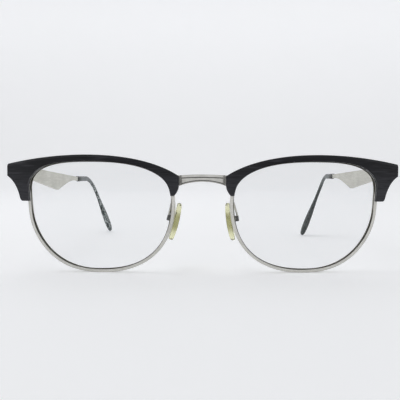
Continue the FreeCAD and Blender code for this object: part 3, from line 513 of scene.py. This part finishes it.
def tip_stations(side):
    """Stations along the tip's middle line in the temple's own frame, and the normal of its bend."""
    shape = TIP_SHAPES[side]
    level = -math.tan(shape["slope"]) * METAL_REACH - TEMPLE_END_HEIGHT / 2
    start = Vector((TEMPLE_MIDDLE, METAL_REACH, level))
    corner = start + Vector((0, shape["straight"], 0))
    end = Vector((TEMPLE_MIDDLE - shape["inset"], corner.y + shape["run"], TIP_END_HEIGHT - TEMPLE_ORIGIN.z))
    along = (corner - start).normalized()
    down = (end - corner).normalized()
    half_turn = along.angle(down) / 2
    trim = shape["bend"] * math.tan(half_turn)
    enter = corner - along * trim
    leave = corner + down * trim
    flat_side = along.cross(down).normalized()
    inward = (down - along * along.dot(down)).normalized()
    center = enter + inward * shape["bend"]
    length = (end - leave).length
    stations = []
    for reach, swell, kind in SLEEVE:
        place = start + along * reach
        stations.append(Station(place, along, TIP_NECK[0] * swell, TIP_NECK[1] * swell, kind))
    for step in range(TIP_BEND_STEPS):
        turn = Matrix.Rotation(2 * half_turn * step / TIP_BEND_STEPS, 3, flat_side)
        stations.append(Station(center - turn @ inward * shape["bend"], turn @ along, *TIP_NECK, PLAIN))
    for step in range(TIP_DROP_STEPS + 1):
        reach = length * math.sin(step / TIP_DROP_STEPS * math.pi / 2)
        stations.append(Station(leave + down * reach, down, *tip_section(length - reach), PLAIN))
    return stations, flat_side


def temple_point(point, mirror):
    """From the temple's own frame to the shared frame."""
    place = TEMPLE_ORIGIN + Matrix.Rotation(TEMPLE_TOE_IN, 3, "Z") @ point
    return (place.x * mirror, place.y, place.z)


def make_tip(side):
    """A tip of oval rings of points round its stations."""
    mirror = SIDES[side]
    stations, flat_side = tip_stations(side)
    points = []
    for station in stations:
        upright = station.along.cross(flat_side)
        for segment in range(TIP_SEGMENTS):
            angle = 2 * math.pi * segment / TIP_SEGMENTS
            rise = upright * (station.height / 2 * math.cos(angle))
            out = flat_side * (station.thickness / 2 * math.sin(angle))
            points.append(temple_point(station.place + rise + out, mirror))
    points.append(temple_point(stations[0].place, mirror))
    points.append(temple_point(stations[-1].place, mirror))
    faces = ring_faces(len(stations), TIP_SEGMENTS)
    rows = [number // TIP_SEGMENTS for number in range(len(faces))]
    kinds = [stations[row].kind if row < len(stations) - 1 else PLAIN for row in rows]
    materials = [MATERIALS[f"{side}_tip"], MATERIALS["tip_collar"]]
    piece = new_piece(f"{side}_tip_piece", points, faces, materials, kinds)
    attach(piece, f"{side}_temple")
    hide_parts(f"{side}_temple_tip")


# Nose pad: an oval with a crowned face to the nose and a rounded edge

PAD_SEGMENTS = 64
PAD_RINGS = 10
PAD_EDGE_STEPS = 8
PAD_EDGE_RADIUS = 0.45
PAD_BACK_DISH = 0.15


def pad_profile(reach):
    """Points from the back's middle over the edge to the front's middle: (distance out, depth)."""
    def back(out):
        return PAD_HALF_THICKNESS - PAD_BACK_DISH * (out / reach) ** 2

    def front(out):
        return PAD_CROWN_RADIUS - PAD_HALF_THICKNESS - math.sqrt(PAD_CROWN_RADIUS ** 2 - out ** 2)

    flat_reach = reach - PAD_EDGE_RADIUS
    middle = (back(flat_reach) + front(flat_reach)) / 2
    half = (back(flat_reach) - front(flat_reach)) / 2
    outs = [flat_reach * (ring + 1) / PAD_RINGS for ring in range(PAD_RINGS)]
    profile = [(out, back(out)) for out in outs]
    for step in range(1, PAD_EDGE_STEPS):
        angle = math.pi / 2 - math.pi * step / PAD_EDGE_STEPS
        profile.append((flat_reach + PAD_EDGE_RADIUS * math.cos(angle), middle + half * math.sin(angle)))
    profile += [(out, front(out)) for out in outs[::-1]]
    return profile


def make_nose_pad(side):
    """A pad whose profile is drawn out to an oval in every direction."""
    mirror = SIDES[side]
    columns = []
    for segment in range(PAD_SEGMENTS):
        angle = 2 * math.pi * segment / PAD_SEGMENTS
        cosine = math.cos(angle)
        sine = math.sin(angle)
        reach = 1 / math.hypot(cosine / PAD_HALF_WIDTH, sine / PAD_HALF_LENGTH)
        columns.append([Vector((out * cosine, depth, out * sine)) for out, depth in pad_profile(reach)])
    rings = len(columns[0])
    local = [columns[segment][ring] for ring in range(rings) for segment in range(PAD_SEGMENTS)]
    local.append(Vector((0, PAD_HALF_THICKNESS, 0)))
    local.append(Vector((0, -PAD_HALF_THICKNESS, 0)))
    turn = Matrix.Rotation(-PAD_TILTS[side], 3, "Y") @ Matrix.Rotation(-math.pi / 2 - PAD_SPLAY, 3, "Z")
    points = []
    for point in local:
        place = PAD_CENTER + turn @ point
        points.append((place.x * mirror, place.y, place.z))
    faces = ring_faces(rings, PAD_SEGMENTS)
    piece = new_piece(f"{side}_nose_pad_piece", points, faces, [MATERIALS["pad_plastic"]])
    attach(piece, f"{side}_pad")
    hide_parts(f"{side}_nose_pad")


# Floor and backdrop in one sweep, world light and lamp, in metres

PALE = (0.838, 0.846, 0.863)
FLOOR_GLOW = [value * 0.31 for value in PALE]
WALL_GLOW = [value * 0.32 for value in PALE]
PALE_CLOUD = [value * 1.01 for value in PALE]
SWEEP_HALF_WIDTH = 3.0
SWEEP_NEAR = -2.0
SWEEP_FAR = 1.2
SWEEP_RADIUS = 0.5
SWEEP_TOP = 2.5
SWEEP_STEPS = 24
SKY_LEVELS = [(0.1, 0.9), (0.6, 0.45), (1.0, 0.3)]
KEY_PLACE = (-0.25, 0.1, 0.75)
KEY_TARGET = (0, 0, 0.02)
KEY_SIZE = 0.5
KEY_ENERGY = 1.0


def make_sweep():
    """A floor that curves up into a wall."""
    line = [(SWEEP_NEAR, 0.0)]
    for step in range(SWEEP_STEPS + 1):
        angle = math.pi / 2 * step / SWEEP_STEPS
        line.append((
            SWEEP_FAR - SWEEP_RADIUS + SWEEP_RADIUS * math.sin(angle),
            SWEEP_RADIUS - SWEEP_RADIUS * math.cos(angle),
        ))
    line.append((SWEEP_FAR, SWEEP_TOP))
    points = [Vector((x, y, z)) / MM for y, z in line for x in (-SWEEP_HALF_WIDTH, SWEEP_HALF_WIDTH)]
    faces = [(2 * row, 2 * row + 1, 2 * row + 3, 2 * row + 2) for row in range(len(line) - 1)]
    shading = Shading("pale_sweep", Roughness=0.6, Specular_IOR_Level=0.1, Emission_Strength=1.0)
    glow = shading.ramp(shading.height(0.0, SWEEP_RADIUS / MM), [(0.0, FLOOR_GLOW), (1.0, WALL_GLOW)])
    shading.link(glow, shading.shader.inputs["Emission Color"])
    clouds = shading.noise(0.01, detail=2.0)
    shading.color(shading.ramp(clouds, [(0.3, PALE), (0.7, PALE_CLOUD)]))
    sweep = new_piece("sweep", points, faces, [shading.material])


def make_world():
    """A room that is darker overhead, with the pale backdrop wherever it is seen or mirrored."""
    world = bpy.data.worlds.new("soft_room")
    bpy.context.scene.world = world
    world.use_nodes = True
    tree = world.node_tree
    texture = tree.nodes.new("ShaderNodeTexCoord")
    split = tree.nodes.new("ShaderNodeSeparateXYZ")
    tree.links.new(texture.outputs["Generated"], split.inputs["Vector"])
    ramp = tree.nodes.new("ShaderNodeValToRGB")
    elements = ramp.color_ramp.elements
    elements.new(0.5)
    for element, (height, level) in zip(elements, SKY_LEVELS):
        element.position = height
        element.color = (level, level, level, 1)
    tree.links.new(split.outputs["Z"], ramp.inputs["Fac"])
    room = tree.nodes["Background"]
    tree.links.new(ramp.outputs["Color"], room.inputs["Color"])
    backdrop = tree.nodes.new("ShaderNodeBackground")
    backdrop.inputs["Color"].default_value = (*PALE, 1)
    paths = tree.nodes.new("ShaderNodeLightPath")
    shown = room.outputs["Background"]
    for kind in ("Is Camera Ray", "Is Glossy Ray", "Is Transmission Ray"):
        mix = tree.nodes.new("ShaderNodeMixShader")
        tree.links.new(paths.outputs[kind], mix.inputs["Fac"])
        tree.links.new(shown, mix.inputs[1])
        tree.links.new(backdrop.outputs["Background"], mix.inputs[2])
        shown = mix.outputs["Shader"]
    tree.links.new(shown, tree.nodes["World Output"].inputs["Surface"])


def add_lamp(name, place, target, size, energy):
    """A round lamp that faces a target."""
    data = bpy.data.lights.new(name, "AREA")
    data.shape = "DISK"
    data.size = size
    data.energy = energy
    lamp = bpy.data.objects.new(name, data)
    bpy.context.collection.objects.link(lamp)
    lamp.location = place
    lamp.rotation_euler = (Vector(target) - Vector(place)).to_track_quat("-Z", "Y").to_euler()


# Camera, as the photograph was taken: level, before the bridge, at brow height

CAMERA_DISTANCE = 160.0
CAMERA_X = 2.6
CAMERA_Z = 33.6
IMAGE_SIZE = 400
FOCAL_PIXELS = 460
CENTER_PIXEL = (209.97, 176.0)
CAMERA_ROLL = math.radians(-0.14)
SENSOR = 36.0
NEAREST = 0.005
FARTHEST = 20.0


def make_camera():
    """A camera whose optical centre lies off the middle of the square picture."""
    data = bpy.data.cameras.new("camera")
    data.sensor_width = SENSOR
    data.lens = SENSOR * FOCAL_PIXELS / IMAGE_SIZE
    data.shift_x = -(CENTER_PIXEL[0] - IMAGE_SIZE / 2) / IMAGE_SIZE
    data.shift_y = (CENTER_PIXEL[1] - IMAGE_SIZE / 2) / IMAGE_SIZE
    data.clip_start = NEAREST
    data.clip_end = FARTHEST
    camera = bpy.data.objects.new("camera", data)
    bpy.context.collection.objects.link(camera)
    camera.location = Vector((CAMERA_X, FRONT_Y - CAMERA_DISTANCE, CAMERA_Z)) * MM
    camera.rotation_euler = (math.pi / 2, CAMERA_ROLL, 0)
    bpy.context.scene.camera = camera


finish_nodes()
for side in SIDES:
    make_lens(side)
    make_tip(side)
    make_nose_pad(side)
make_sweep()
make_world()
add_lamp("key", KEY_PLACE, KEY_TARGET, KEY_SIZE, KEY_ENERGY)
make_camera()
bpy.context.scene.view_settings.view_transform = "Standard"
